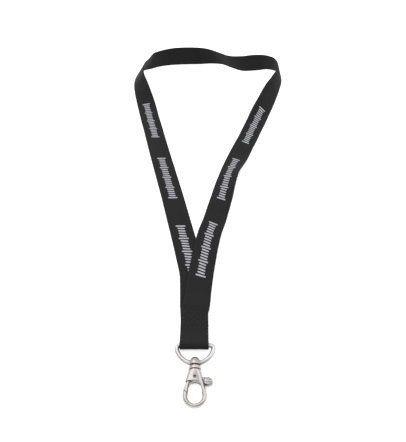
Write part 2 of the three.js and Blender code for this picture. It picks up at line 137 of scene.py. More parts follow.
def move_points(piece, rule):
    """Each point goes where the rule says. The rule takes and gives an array of points."""
    mesh = piece.data
    points = np.empty(len(mesh.vertices) * 3)
    mesh.vertices.foreach_get("co", points)
    moved = rule(points.reshape(-1, 3))
    mesh.vertices.foreach_set("co", np.asarray(moved).ravel())
    mesh.update()


def apply_modifier(piece, kind, **settings):
    pick_object(piece)
    modifier = piece.modifiers.new(kind.lower(), kind)
    for name, value in settings.items():
        setattr(modifier, name, value)
    bpy.ops.object.modifier_apply(modifier=modifier.name)


def round_edges(piece, width):
    """A small bevel along every sharp edge."""
    apply_modifier(piece, "BEVEL", width=width, segments=3, limit_method="ANGLE",
                   angle_limit=math.radians(60))


def shade(piece, degrees=40):
    pick_object(piece)
    bpy.ops.object.shade_smooth_by_angle(angle=math.radians(degrees))


# %% [markdown]
# A smooth line through a few chosen points.
# The ribbon, the ring's wire and the hook's loop all follow a line. A Catmull-Rom line passes
# through every chosen point, and its centripetal form makes no loops where points come close.

# %% A smooth line through points
def smooth_line(points, steps_each, centripetal=True):
    """Points along a Catmull-Rom line, with steps_each steps between two chosen points."""
    given = np.asarray(points, float)
    ends = np.vstack([2 * given[0] - given[1], given, 2 * given[-1] - given[-2]])
    share = (np.arange(steps_each) / steps_each)[:, None]
    rows = []
    for a, b, c, d in zip(ends, ends[1:], ends[2:], ends[3:]):
        gaps = [1.0, 1.0, 1.0]
        if centripetal:
            gaps = [np.linalg.norm((q - p)[:3]) ** 0.5 for p, q in ((a, b), (b, c), (c, d))]
        into = (b - a) / gaps[0] - (c - a) / (gaps[0] + gaps[1]) + (c - b) / gaps[1]
        out = (c - b) / gaps[1] - (d - b) / (gaps[1] + gaps[2]) + (d - c) / gaps[2]
        into = into * gaps[1]
        out = out * gaps[1]
        bend = -3 * b + 3 * c - 2 * into - out
        twist = 2 * b - 2 * c + into + out
        rows.append(b + into * share + bend * share**2 + twist * share**3)
    return np.vstack(rows + [given[-1:]])


# %% [markdown]
# The ribbon's route.
# The loop lies on the table, and its two runs come together over the ring. The run on the right
# crosses over the one on the left. Round the back of the neck the ribbon stands on its edge, because
# a flat band can only turn a corner by rolling. A station is a place on the ribbon's middle line
# and, where it lifts off the table, a height and a roll in degrees.

# %% Stations along the ribbon
STRAP_WIDTH = 0.020
STRAP_THICKNESS = 0.0009
LAYER_GAP = 0.0003
REST_GAP = 0.0003
TAIL_LENGTH = 0.030
STEP_DOWN = 0.008
CROSSING_MARGIN = 0.005
WIRE = 0.0032
WIRE_CLEARANCE = 0.00025

RIGHT_RUN = [
    (0.0012, 0.032), (0.0025, 0.045), (0.0043, 0.060), (0.0064, 0.074), (0.0089, 0.089),
    (0.012, 0.104), (0.016, 0.118), (0.0198, 0.133),
]
NECK_RUN = [
    (0.0234, 0.147, 0.0018, 7), (0.0268, 0.161, 0.0034, 16), (0.031, 0.176, 0.0041, 20),
    (0.036, 0.190, 0.0024, 10), (0.0414, 0.204, 0.0009, 0), (0.0467, 0.218, 0.0008, 0),
    (0.052, 0.231, 0.0008, 0), (0.0573, 0.245, 0.0011, -2), (0.063, 0.259, 0.0022, -9),
    (0.0688, 0.273, 0.0047, -23), (0.075, 0.286, 0.0078, -34), (0.081, 0.299, 0.0113, -44),
    (0.088, 0.312, 0.0158, -62), (0.0934, 0.325, 0.020, -72), (0.0912, 0.339, 0.0217, -69),
    (0.0807, 0.349, 0.0202, -77), (0.067, 0.3533, 0.0173, -89), (0.0523, 0.3563, 0.0146, -83),
    (0.039, 0.363, 0.0132, -68), (0.027, 0.372, 0.0127, -68), (0.014, 0.3787, 0.0116, -84),
    (-0.0005, 0.3814, 0.0108, -104), (-0.0155, 0.3818, 0.0106, -112),
    (-0.0304, 0.3798, 0.0108, -106), (-0.0436, 0.3735, 0.012, -92), (-0.0538, 0.363, 0.0144, -83),
    (-0.0612, 0.350, 0.0166, -61), (-0.0662, 0.336, 0.0177, -57), (-0.0668, 0.3215, 0.0161, -52),
    (-0.0633, 0.308, 0.0113, -39), (-0.059, 0.295, 0.0058, -24), (-0.055, 0.281, 0.0024, -9),
    (-0.0514, 0.266, 0.0012, -3),
]
LEFT_RUN = [
    (-0.0477, 0.252), (-0.0441, 0.237), (-0.037, 0.208), (-0.0297, 0.179), (-0.0224, 0.150),
    (-0.0155, 0.121), (-0.0087, 0.092), (-0.0054, 0.077), (-0.0025, 0.063), (-0.0015, 0.048),
]
INNER_END = [(-0.001, 0.034), (-0.0004, 0.026), (0, 0.018), (0, 0.009)]

layer_pitch = STRAP_THICKNESS + LAYER_GAP
low_layer = STRAP_THICKNESS / 2
middle_layer = low_layer + layer_pitch
top_layer = middle_layer + layer_pitch
fold_radius = WIRE / 2 + WIRE_CLEARANCE + STRAP_THICKNESS / 2
axis_height = bar.z - cad_box[0].z
print("layers at", low_layer, middle_layer, top_layer, "and the ring's bar at", axis_height)


# %% Heights of the layers
def free_height(x, y, on_top):
    """A run lies on the table, on the folded tail near the ring, and on the other run above it."""
    over_tail = 1 if y < TAIL_LENGTH + STEP_DOWN else 0
    if not on_top:
        return low_layer + REST_GAP * (1 - over_tail) + over_tail * layer_pitch
    other = np.interp(y, [p[1] for p in LEFT_RUN[::-1]], [p[0] for p in LEFT_RUN[::-1]])
    crosses = 1 if x - other < STRAP_WIDTH + CROSSING_MARGIN else 0
    return low_layer + REST_GAP + (crosses + over_tail) * layer_pitch


def folded_tail():
    """Along the table, round the ring's bar, and back on top."""
    under = [(0, y, low_layer) for y in (0.030, 0.025, 0.020, 0.015)]
    under.append((0, 0.010, low_layer + 0.0001))
    under.append((0, 0.005, (low_layer + axis_height - fold_radius) / 2))
    turns = np.linspace(-math.pi / 2, -3 * math.pi / 2, 9)
    bend = [(0, fold_radius * math.cos(a), axis_height + fold_radius * math.sin(a)) for a in turns]
    over = [(0, 0.006, (top_layer + axis_height + fold_radius) / 2)]
    over += [(0, y, top_layer) for y in (0.012, 0.017, 0.022, 0.027)]
    return under + bend + over


fold = folded_tail()
free = [(x, y, free_height(x, y, True), 0) for x, y in RIGHT_RUN]
free += NECK_RUN
free += [(x, y, free_height(x, y, False), 0) for x, y in LEFT_RUN]
inner = [(x, y, middle_layer) for x, y in INNER_END]
print(len(fold) + len(free) + len(inner), "stations")

# %% [markdown]
# From stations to a moving frame.
# At each step along the ribbon three directions are needed: along it, across it, and out of its
# face. With these, anything drawn on the flat ribbon can be laid on the bent one. The distance
# along the line is kept too, because the ribbon has to come out at the length it was cut to.

# %% Directions along the ribbon
STEPS_EACH = 40


def across_free_runs(stations):
    """Across the ribbon: level at roll 0, and tipped about the line by the roll."""
    places = np.array([s[:3] for s in stations])
    along = np.vstack([places[1] - places[0], places[2:] - places[:-2], places[-1] - places[-2]])
    along /= np.linalg.norm(along, axis=1)[:, None]
    side = np.cross(along, (0, 0, 1))
    side /= np.linalg.norm(side, axis=1)[:, None]
    lift = np.cross(side, along)
    roll = np.radians([s[3] for s in stations])[:, None]
    return side * np.cos(roll) + lift * np.sin(roll)


stations = np.array([s[:3] for s in fold + free + inner])
tipped = np.vstack([
    np.tile((1.0, 0, 0), (len(fold), 1)),
    across_free_runs(free),
    np.tile((-1.0, 0, 0), (len(inner), 1)),
])
line = smooth_line(stations, STEPS_EACH) + np.array((strap_x, bar.y, cad_box[0].z))
across = smooth_line(tipped, STEPS_EACH, centripetal=False)
steps = np.linalg.norm(np.diff(line, axis=0), axis=1)
distance = np.concatenate([[0], np.cumsum(steps)])
along = np.gradient(line, distance, axis=0)
along /= np.linalg.norm(along, axis=1)[:, None]
across -= along * np.sum(across * along, axis=1)[:, None]
across /= np.linalg.norm(across, axis=1)[:, None]
face = np.cross(across, along)
strap_length = distance[-1]
print("the ribbon is cut", round(strap_length, 4), "m long")


def lay_along_route(flat):
    """A flat point is (across, along, out of the face). It goes to its place on the bent ribbon."""
    def at(rows):
        return np.stack([np.interp(flat[:, 1], distance, rows[:, i]) for i in range(3)], axis=1)
    return at(line) + at(across) * flat[:, :1] + at(face) * flat[:, 2:]


def distance_where(y, after):
    """How far along the ribbon its line first reaches y, counted from the ring's bar."""
    reached = (line[:, 1] - bar.y >= y) & (distance > after)
    return distance[np.argmax(reached)]


# %% [markdown]
# The ribbon.
# The real one is woven polyester, 20 mm wide. A grid is the cloth, cut flat to its true length, so
# its own map measures true distances for the weave. Solidify gives it thickness, a small bevel
# rounds its two woven edges, and only then is it laid along its route.
# A cloth simulation would let go of the pressed fold and the crisp rolls, so it is laid by rule.

# %% Cut the ribbon flat
COLUMNS = 20
ROW_STEP = 0.0009
FOLD_CUTS = 2
CUTS_BEFORE_TAIL_END = 0.008
CUTS_AFTER_TAIL_END = 0.018

rows = round(strap_length / ROW_STEP)
start_fresh()
bpy.ops.mesh.primitive_grid_add(x_subdivisions=COLUMNS, y_subdivisions=rows, size=1)
ribbon = bpy.context.object
ribbon.scale = (STRAP_WIDTH, strap_length, 1)
ribbon.location = (0, strap_length / 2, 0)
settle(ribbon, "ribbon")
ribbon.data.uv_layers[0].name = "cut"
bpy.ops.object.mode_set(mode="EDIT")
fold_start = TAIL_LENGTH - CUTS_BEFORE_TAIL_END
fold_end = TAIL_LENGTH + CUTS_AFTER_TAIL_END
select_edges(ribbon, lambda a, b: (
    abs(a.x - b.x) < 1e-6 and fold_start < min(a.y, b.y) and max(a.y, b.y) < fold_end))
bpy.ops.mesh.subdivide(number_cuts=FOLD_CUTS)
bpy.ops.object.mode_set(mode="OBJECT")
print("a flat ribbon with", len(ribbon.data.polygons), "faces")

# %% Give it thickness, and lay it
EDGE_ROUND = 0.00028
EDGE_INSET = 0.0006
EDGE_SPREAD = 0.0005
EDGE_FULLER = 0.10
RIPPLE_HEIGHT = 0.00004

apply_modifier(ribbon, "SOLIDIFY", thickness=STRAP_THICKNESS, offset=0, use_even_offset=False)
round_edges(ribbon, EDGE_ROUND)


def woven_edges(flat):
    """The two woven edges are a little fuller than the middle, and the cloth is never quite flat."""
    x, y, z = flat.T
    edge = np.exp(-((STRAP_WIDTH / 2 - np.abs(x) - EDGE_INSET) / EDGE_SPREAD) ** 2)
    ripple = RIPPLE_HEIGHT * np.sin(y / 0.0061) * np.sin(x / 0.0035 + y / 0.019)
    fuller = z * (1 + EDGE_FULLER * edge)
    return np.stack([x, y, fuller + ripple], axis=1)


move_points(ribbon, woven_edges)
move_points(ribbon, lay_along_route)
shade(ribbon, 50)
print("the laid ribbon has", len(ribbon.data.vertices), "points")

# %% [markdown]
# The printed marks.
# The ribbon carries a light print that repeats along both runs: rows of slanted bars, like the
# divisions on a rule, with every fifth bar longer. Screen ink sits on the cloth as a thin skin, so
# each bar is a thin raised shape. One bar is made and copied, and each row follows the cloth.

# %% Print the marks flat
INK_RAISED = 0.00006
INK_SUNK = 0.0001
BAR_LONG = 0.0082
SHORT_BAR = 0.0060
BAR_WIDE = 0.0015
BAR_PITCH = 0.0028
BAR_SLANT = 0.22
BAR_END_NARROWS = 0.35
BARS_IN_ROW = 21
LONG_EVERY = 5
RIGHT_PRINTS = [0.0975, 0.1840, 0.2700]
LEFT_PRINTS = [0.6425, 0.7335, 0.8245]


def joined(pieces, name):
    start_fresh()
    for piece in pieces:
        piece.select_set(True)
    bpy.context.view_layer.objects.active = pieces[0]
    bpy.ops.object.join()
    return settle(bpy.context.object, name)


def copy_of(piece, move):
    """A copy with its own mesh, moved."""
    pick_object(piece)
    bpy.ops.object.duplicate(linked=False)
    made = bpy.context.object
    made.location = move
    bpy.ops.object.transform_apply(location=True, rotation=False, scale=False)
    return made


start_fresh()
bpy.ops.mesh.primitive_grid_add(x_subdivisions=8, y_subdivisions=2, size=1)
bar_shape = bpy.context.object
bar_shape.scale = (BAR_LONG, BAR_WIDE, 1)
settle(bar_shape, "printed_bar")
bpy.ops.object.mode_set(mode="EDIT")
bpy.ops.mesh.select_all(action="SELECT")
bpy.ops.mesh.extrude_region_move(TRANSFORM_OT_translate={"value": (0, 0, INK_RAISED + INK_SUNK)})
bpy.ops.object.mode_set(mode="OBJECT")


def slanted_bar(points):
    """Rounded ends and a slant, sunk a little into the cloth."""
    x, y, z = points.T
    reach = 2 * x / BAR_LONG
    narrow = 1 - BAR_END_NARROWS * np.abs(reach) ** 6
    lean = y * narrow - BAR_SLANT * x
    return np.stack([x, lean, z + STRAP_THICKNESS / 2 - INK_SUNK], axis=1)


move_points(bar_shape, slanted_bar)
print_bars = []
for first in RIGHT_PRINTS + LEFT_PRINTS:
    for i in range(BARS_IN_ROW):
        made = copy_of(bar_shape, (0, first + i * BAR_PITCH, 0))
        if i % LONG_EVERY:
            move_points(made, lambda points: points * (SHORT_BAR / BAR_LONG, 1, 1))
        print_bars.append(made)
bpy.data.objects.remove(bar_shape)
ribbon_print = joined(print_bars, "ribbon_print")
move_points(ribbon_print, lay_along_route)
print(len(print_bars), "printed bars in", len(RIGHT_PRINTS + LEFT_PRINTS), "rows")

# %% [markdown]
# The sewn box.
# A box with a cross is sewn through all the layers just above the ring, and it is what holds the
# weight of the keys. Each stitch is a short bead of thread whose ends dive into the cloth. One
# stitch is shaped from a ball and copied along the six lines of the box.

# %% One stitch, copied along the box
STITCH_LONG = 0.0024
STITCH_PITCH = 0.0027
THREAD_THICK = 0.00048
BOX_INSET = 0.0020
STITCH_SUNK = 0.0001
STITCH_DIVE = 0.0003
stitch_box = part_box("end_stitching")
box_from = stitch_box[0].y - bar.y
box_to = stitch_box[1].y - bar.y

start_fresh()
bpy.ops.mesh.primitive_uv_sphere_add(
    segments=8, ring_count=9, radius=0.5, rotation=(math.pi / 2, 0, 0))
stitch = bpy.context.object
stitch.scale = (THREAD_THICK, THREAD_THICK, STITCH_LONG)
settle(stitch, "one_stitch")


def dipping(points):
    """The thread rises out of the cloth and goes back in."""
    x, y, z = points.T
    reach = np.abs(2 * y / STITCH_LONG)
    full = np.where(reach < 0.8, 1.0 / np.sqrt(1 - 0.55 * reach**2), 1.0)
    return np.stack([x * full, y, z * full - STITCH_SUNK - STITCH_DIVE * reach**3], axis=1)


move_points(stitch, dipping)
half_box = STRAP_WIDTH / 2 - BOX_INSET
top_start = distance_where(box_from, TAIL_LENGTH) - box_from
corners = [(-half_box, box_from), (half_box, box_from), (half_box, box_to), (-half_box, box_to)]
seams = list(zip(corners, corners[1:] + corners[:1]))
seams += [(corners[0], corners[2]), (corners[1], corners[3])]
stitches = []
for (x0, y0), (x1, y1) in seams:
    seam_length = math.hypot(x1 - x0, y1 - y0)
    count = int(seam_length / STITCH_PITCH)
    turn = math.atan2(y1 - y0, x1 - x0) - math.pi / 2
    for i in range(count):
        share = (i + 0.5) / count
        made = copy_of(stitch, (0, 0, 0))
        made.rotation_euler = (0, 0, turn)
        middle = (x0 + (x1 - x0) * share, y0 + (y1 - y0) * share + top_start, STRAP_THICKNESS / 2)
        made.location = middle
        stitches.append(made)
bpy.data.objects.remove(stitch)
box_stitches = joined(stitches, "box_stitches")
move_points(box_stitches, lay_along_route)
shade(box_stitches, 60)
print(len(stitches), "stitches from", round(box_from, 4), "to", round(box_to, 4), "above the bar")

# %% [markdown]
# A rod that takes any shape.
# The ring is bent wire, the swivel eye is turned, and the loop of the hook is cast. All of them are
# a rod whose rings of points go where a rule says. A cylinder is subdivided along its length, and
# each point is known by its turn about the rod and by its ring, counted from the rod's start.

# %% A rod shaped ring by ring
def shaped_rod(name, sides, rings, place):
    """place(turn, ring) gives the points. turn is in radians, and ring goes from 0 to rings."""
    start_fresh()
    bpy.ops.mesh.primitive_cylinder_add(vertices=sides, radius=1, depth=2, end_fill_type="NGON")
    piece = bpy.context.object
    bpy.ops.object.mode_set(mode="EDIT")
    select_edges(piece, lambda a, b: abs(a.z - b.z) > 1)
    bpy.ops.mesh.subdivide(number_cuts=rings - 1)
    bpy.ops.object.mode_set(mode="OBJECT")

    def to_places(points):
        turn = np.arctan2(points[:, 1], points[:, 0])
        ring = np.rint((points[:, 2] + 1) / 2 * rings).astype(int)
        return place(turn, ring)

    move_points(piece, to_places)
    pick_object(piece)
    bpy.ops.object.mode_set(mode="EDIT")
    bpy.ops.mesh.select_all(action="SELECT")
    bpy.ops.mesh.normals_make_consistent(inside=False)
    bpy.ops.object.mode_set(mode="OBJECT")
    return settle(piece, name)


def swept(name, path, half_wide, half_thick, sides=32):
    """A rod along a path in a level plane. half_wide lies in the plane, and half_thick stands up."""
    path = np.asarray(path, float)
    along_path = np.gradient(path, axis=0)
    along_path /= np.linalg.norm(along_path, axis=1)[:, None]
    beside = np.cross(along_path, (0, 0, 1))
    wide = np.broadcast_to(half_wide, len(path))
    thick = np.broadcast_to(half_thick, len(path))

    def place(turn, ring):
        out = beside[ring] * (np.cos(turn) * wide[ring])[:, None]
        up = np.outer(np.sin(turn) * thick[ring], (0, 0, 1))
        return path[ring] + out + up

    return shaped_rod(name, sides, len(path) - 1, place)


def turned(name, profile, centre, sides=64):
    """A rod turned about Y. The profile is a list of (radius, distance along Y from the centre)."""
    radii, heights = np.array(profile, float).T

    def place(turn, ring):
        x = radii[ring] * np.cos(turn)
        z = radii[ring] * np.sin(turn)
        return np.stack([x, heights[ring], z], axis=1) + np.array(centre)

    return shaped_rod(name, sides, len(profile) - 1, place)


def arc(centre, radius, start, stop, count):
    """Points on an arc. Angles are in degrees, from +X towards +Y."""
    angles = np.radians(np.linspace(start, stop, count))
    return [(centre[0] + radius * math.cos(a), centre[1] + radius * math.sin(a)) for a in angles]


# %% [markdown]
# The D-ring.
# It is steel wire bent into a straight bar, two tight corners and a round bow, and its ends meet
# inside the ribbon's fold. The path is drawn as arcs: each corner touches both the bar and the bow.

# %% Bend the ring's wire
RING_SIDE_CLEARANCE = 0.0014
RING_BAR_SETBACK = 0.0
RING_BUTT_GAP = 0.0004
CORNER_BEND = 0.0024
WIRE_END_ROUND = 0.0003

bow_radius = STRAP_WIDTH / 2 + RING_SIDE_CLEARANCE + WIRE / 2
corner_in = math.sqrt((bow_radius - CORNER_BEND) ** 2 - (CORNER_BEND - RING_BAR_SETBACK) ** 2)
corner_turn = math.degrees(math.atan2(CORNER_BEND - RING_BAR_SETBACK, corner_in))
right_corner = arc((corner_in, -CORNER_BEND), CORNER_BEND, 90, -corner_turn, 14)
bow = arc((0, -RING_BAR_SETBACK), bow_radius, -corner_turn, corner_turn - 180, 66)
left_corner = [(-x, y) for x, y in right_corner[::-1]]
bar_right = [(x, 0) for x in np.linspace(RING_BUTT_GAP / 2, corner_in, 6)[:-1]]
bar_left = [(-x, y) for x, y in bar_right[::-1]]
ring_path = bar_right + right_corner + bow[1:-1] + left_corner + bar_left
ring_line = [(bar.x + x, bar.y + y, bar.z) for x, y in ring_path]
ring_wire = swept("ring_wire", ring_line, WIRE / 2, WIRE / 2)
round_edges(ring_wire, WIRE_END_ROUND)
shade(ring_wire)
print("the ring is", round(2 * bow_radius + WIRE, 4), "m wide outside")

# %% [markdown]
# Cutting shapes and casting them.
# Cast metal has no sharp edges: the mould and the tumbling drum round all of them. So each casting
# is first built from plain overlapping shapes and cut with others, and then a voxel remesh melts it
# into one skin, and smoothing rounds every edge by the same small amount.

# %% Blanks, cuts and castings
def blank(name, outline, low, high):
    """A flat outline made thick from low to high, as if sawn from a plate. Sizes from the rivet."""
    start_fresh()
    bpy.ops.mesh.primitive_circle_add(vertices=len(outline), radius=1, fill_type="NGON")
    piece = bpy.context.object
    corners = np.array([(x, y, low) for x, y in outline]) + np.array(rivet)
    move_points(piece, lambda points: corners)
    bpy.ops.object.mode_set(mode="EDIT")
    bpy.ops.mesh.select_all(action="SELECT")
    bpy.ops.mesh.extrude_region_move(TRANSFORM_OT_translate={"value": (0, 0, high - low)})
    bpy.ops.mesh.select_all(action="SELECT")
    bpy.ops.mesh.normals_make_consistent(inside=False)
    bpy.ops.object.mode_set(mode="OBJECT")
    return settle(piece, name)


def pin(name, radius, low, high):
    """An upright cylinder on the rivet's axis, for a hole or a hub."""
    start_fresh()
    place = (rivet.x, rivet.y, rivet.z + (low + high) / 2)
    bpy.ops.mesh.primitive_cylinder_add(
        vertices=48, radius=radius, depth=high - low, location=place)
    return settle(bpy.context.object, name)


def combine(piece, others, operation):
    """Joins, cuts or keeps the shared part, one after another, and clears the tools away."""
    for other in others:
        apply_modifier(piece, "BOOLEAN", object=other, operation=operation, solver="EXACT")
        bpy.data.objects.remove(other)
    return piece


def cast(piece, voxel, rounds):
    """Melts the piece into one even skin and smooths it."""
    pick_object(piece)
    piece.data.remesh_voxel_size = voxel
    piece.data.remesh_voxel_adaptivity = 0
    bpy.ops.object.voxel_remesh()
    apply_modifier(piece, "SMOOTH", factor=0.5, iterations=rounds)
    bpy.ops.object.shade_smooth()
    print(piece.name, "has", len(piece.data.polygons), "faces")
    return piece


# %% [markdown]
# The swivel eye.
# The ring passes through a hole in its domed head. Below the head there is a narrow neck, then a
# collar, then a shank that is riveted over inside the hook, so that the hook can spin. It is one
# turned piece with a hole whose mouths are flared, because the ring's wire is curved.

# %% Turn the eye
COLLAR = 0.0083 / 2
COLLAR_THICK = 0.0020
NECK = 0.0062 / 2
EYE_RISE = 0.0009
EYE_HEIGHT = 0.0045
SHANK = 0.0028 / 2
SHANK_HEAD = 0.0042 / 2
SHANK_HEAD_THICK = 0.001
TURNING_CLEARANCE = 0.00025
HOOK_TOP = 0.0053
HOOK_TOP_WALL = 0.0020
DOME_FULLNESS = 2.1
GROOVE_TALL = 0.0013
CUT_PAST = 0.001

collar_low = HOOK_TOP + TURNING_CLEARANCE
collar_high = collar_low + COLLAR_THICK
eye_centre = collar_high + EYE_RISE + WIRE / 2
head_high = HOOK_TOP - HOOK_TOP_WALL - TURNING_CLEARANCE
head_low = head_high - SHANK_HEAD_THICK
dome_low = collar_high + GROOVE_TALL
dome_high = eye_centre + EYE_HEIGHT - dome_low
dome = []
for share in np.linspace(0, 0.995, 14):
    dome_radius = COLLAR * (1 - share**DOME_FULLNESS) ** (1 / DOME_FULLNESS)
    dome.append((dome_radius, dome_low + dome_high * share))
profile = [
    (0.0001, head_low), (SHANK_HEAD * 0.8, head_low), (SHANK_HEAD, head_low + 0.0004),
    (SHANK_HEAD, head_high), (SHANK, head_high), (SHANK, collar_low), (COLLAR - 0.0002, collar_low),
    (COLLAR, collar_low + 0.0002), (COLLAR, collar_high - 0.0002), (COLLAR - 0.0002, collar_high),
    (NECK, collar_high + 0.0001), (NECK, dome_low - 0.0002), (COLLAR - 0.0003, dome_low - 0.0002),
]
swivel_eye = turned("eye_casting", profile + dome, rivet)
mouths = []
for reach in np.linspace(-COLLAR - CUT_PAST, COLLAR + CUT_PAST, 17):
    rise = bow_radius - math.sqrt(bow_radius**2 - reach**2)
    flare = WIRE / 2 / math.cos(math.asin(reach / bow_radius)) + WIRE_CLEARANCE
    mouths.append((rivet.x + reach, rise + flare))
eye_y = rivet.y + eye_centre


def bore_place(turn, ring):
    x = np.array([m[0] for m in mouths])[ring]
    radius = np.array([m[1] for m in mouths])[ring]
    return np.stack([x, eye_y + radius * np.cos(turn), rivet.z + radius * np.sin(turn)], axis=1)


bore = shaped_rod("eye_bore", 40, len(mouths) - 1, bore_place)
combine(swivel_eye, [bore], "DIFFERENCE")
cast(swivel_eye, voxel=0.00012, rounds=4)

# %% [markdown]
# The loop of the hook.
# The closed hook is a pear-shaped loop. Its right side and bottom belong to the fixed claw, and its
# upper left belongs to the gate, so both are made as one swept loop and then split at the two
# slanted seams. That way the outline runs on smoothly across the seams, as on the real casting.

# %% Sweep the loop and split it
LOOP_CENTRE = (0.0001, -0.01155)
LOOP_RADIUS = 0.00632
HALF_WIDE_RIGHT = 0.00158
HALF_WIDE_BOTTOM = 0.00136
HALF_WIDE_LEFT = 0.00175
LOOP_HALF_THICK = 0.0023
SEAM_GAP = 0.00022
LOOP_STEPS = 8
LOOP_FROM = 14
LOOP_TO = -196
CUTTER_REACH = 0.006

right_side = [(0.0040, -0.0010, 0.0018), (0.0051, -0.0045, 0.0013), (0.0058, -0.0075, 0.0013)]
half_wides = np.interp(np.linspace(LOOP_FROM, LOOP_TO, 16), [-180, -90, 0],
                       [HALF_WIDE_LEFT, HALF_WIDE_BOTTOM, HALF_WIDE_RIGHT])
bend = arc(LOOP_CENTRE, LOOP_RADIUS, LOOP_FROM, LOOP_TO, 15)
around = [(x, y, wide) for (x, y), wide in zip(bend, half_wides)]
left_side = [(-0.0057, -0.0075, 0.00166), (-0.0051, -0.0053, 0.00152), (-0.0045, -0.0034, 0.00145),
             (-0.0035, -0.0014, 0.0014)]
loop_line = smooth_line(right_side + around + left_side, LOOP_STEPS)


def loop_rod(name):
    path = [(rivet.x + x, rivet.y + y, rivet.z) for x, y, _ in loop_line]
    return swept(name, path, loop_line[:, 2], LOOP_HALF_THICK, sides=40)


seam_out = (-0.0100, -0.00524)
seam_in = (-0.00355, -0.01174)
cheek_out = (-0.0100, -0.0033)
cheek_in = (-0.0016, -0.0023)
gate_side = [seam_out, seam_in, (-0.0030, -0.0090), (-0.0016, -0.0060), cheek_in, cheek_out]
gate_limits = [
    (seam_out[0], seam_out[1] + SEAM_GAP), (seam_in[0] + SEAM_GAP, seam_in[1] + SEAM_GAP),
    (-0.0030, -0.0090), (-0.0016, -0.0060), (cheek_in[0], cheek_in[1] - SEAM_GAP),
    (cheek_out[0], cheek_out[1] - SEAM_GAP),
]


def cutter(name, outline):
    """A blank tall enough to cut right through the hook."""
    return blank(name, outline, -CUTTER_REACH, CUTTER_REACH)


claw_limits = gate_side[:4] + [(0.0, 0.0), (-0.01, 0.0)]
claw = combine(loop_rod("claw"), [cutter("cut", claw_limits)], "DIFFERENCE")
gate = combine(loop_rod("gate"), [cutter("keep", gate_limits)], "INTERSECT")
print("claw and gate are split at the seam")

# %% [markdown]
# The hook's body.
# From a round top, as wide as the swivel's collar, the body flares down into two flat cheeks with
# the lever between them. It is a rod whose section changes from round to a softly squared oval.
# The arch of the opening, the lever's slot, the rivet's hole and the shank's bore are cut from it.

# %% Shape the body
BODY_LENGTH_RINGS = 40
BODY_LEVELS = [-0.0100, -0.0075, -0.0050, -0.0028, 0.0000, 0.0030, HOOK_TOP]
BODY_LEFT = [0.0080, 0.0074, 0.0069, 0.0063, 0.0057, 0.0049, COLLAR]
BODY_RIGHT = [0.0077, 0.0069, 0.0061, 0.0057, 0.0053, 0.0048, COLLAR]
BODY_HALF_THICK = [0.0021, 0.0027, 0.0030, 0.0032, 0.0034, 0.0038, COLLAR - 0.0001]
BODY_SQUARENESS = [2.2, 2.6, 3.0, 3.0, 2.8, 2.3, 2.0]
TOP_LIP = 0.0003
LEVER_HALF = 0.00125
SLOT_HALF = LEVER_HALF + 0.00022
OPENING_TOP = (0.00035, -0.0064)
OPENING_TOP_RADIUS = 0.0042
OPENING_CENTRE = (0.0002, -0.0119)
OPENING_RADIUS = 0.00465
LEVER_SWEEP = 0.005
RIVET_RADIUS = 0.00085
RIVET_CLEARANCE = 0.00012

outline_rows = np.stack(
    [BODY_LEFT, BODY_RIGHT, BODY_HALF_THICK, BODY_SQUARENESS, BODY_LEVELS], axis=1)
smooth_rows = smooth_line(outline_rows, 8, centripetal=False)
body_heights = np.linspace(BODY_LEVELS[0], HOOK_TOP, BODY_LENGTH_RINGS + 1)
left_edge, right_edge, half_thick, squareness = [
    np.interp(body_heights, smooth_rows[:, 4], smooth_rows[:, i]) for i in range(4)]


def softly_squared(turn, power):
    """A circle pressed towards a square. A power of 2 leaves it round."""
    x = np.sign(np.cos(turn)) * np.abs(np.cos(turn)) ** (2 / power)
    z = np.sign(np.sin(turn)) * np.abs(np.sin(turn)) ** (2 / power)
    return x, z


def body_place(turn, ring):
    lip = np.where(ring == BODY_LENGTH_RINGS, TOP_LIP, 0)
    wide = (left_edge + right_edge)[ring] / 2 - lip
    middle = (right_edge - left_edge)[ring] / 2
    thick = half_thick[ring] - lip
    x, z = softly_squared(turn, squareness[ring])
    places = [rivet.x + middle + x * wide, rivet.y + body_heights[ring], rivet.z + z * thick]
    return np.stack(places, axis=1)


hook_body = shaped_rod("hook_casting", 72, BODY_LENGTH_RINGS, body_place)
arch = arc(OPENING_TOP, OPENING_TOP_RADIUS, 100, 5, 24)
opening_right = arc(OPENING_CENTRE, OPENING_RADIUS, 5, -25, 8)
under_cheeks = [(-0.0100, -0.0033), (-0.0060, -0.0028), (-0.0016, -0.00235)] + arch + opening_right
under_cheeks += [(0.0020, -0.0145), (-0.0120, -0.0145)]
combine(hook_body, [cutter("arch", under_cheeks)], "DIFFERENCE")
combine(hook_body, [claw], "UNION")

# %% Cut the lever's slot and the holes
slot_back = [(-0.0095, -0.0057), (-0.00535, -0.00155), (-0.00215, 0.00165), (-0.00155, 0.0023)]
slot = blank("slot", slot_back + [
    (0.0022, 0.0023), (0.0030, 0.0036), (0.0095, 0.0036), (0.0095, -0.0040), (0.0030, -0.0040),
    (0.0010, -0.0048), (-0.0013, -0.0070), (-0.0060, -0.0064),
], -SLOT_HALF, SLOT_HALF)
sweep = pin("sweep", LEVER_SWEEP, -SLOT_HALF, SLOT_HALF)
sweep_limits = cutter("limits", [(0.009, -0.009), (0.009, 0.0023)] + slot_back[::-1] + [(-0.0095, -0.009)])
combine(sweep, [sweep_limits], "INTERSECT")
rivet_hole = pin("rivet_hole", RIVET_RADIUS + RIVET_CLEARANCE, -CUTTER_REACH, CUTTER_REACH)
head_room = SHANK_HEAD + TURNING_CLEARANCE
shank_room = SHANK + TURNING_CLEARANCE
pocket = turned("pocket", [
    (head_room, 0.001), (head_room, HOOK_TOP - HOOK_TOP_WALL), (shank_room, HOOK_TOP - HOOK_TOP_WALL),
    (shank_room, HOOK_TOP + CUT_PAST),
], rivet, sides=32)
combine(hook_body, [slot, sweep, rivet_hole, pocket], "DIFFERENCE")
cast(hook_body, voxel=0.00013, rounds=6)

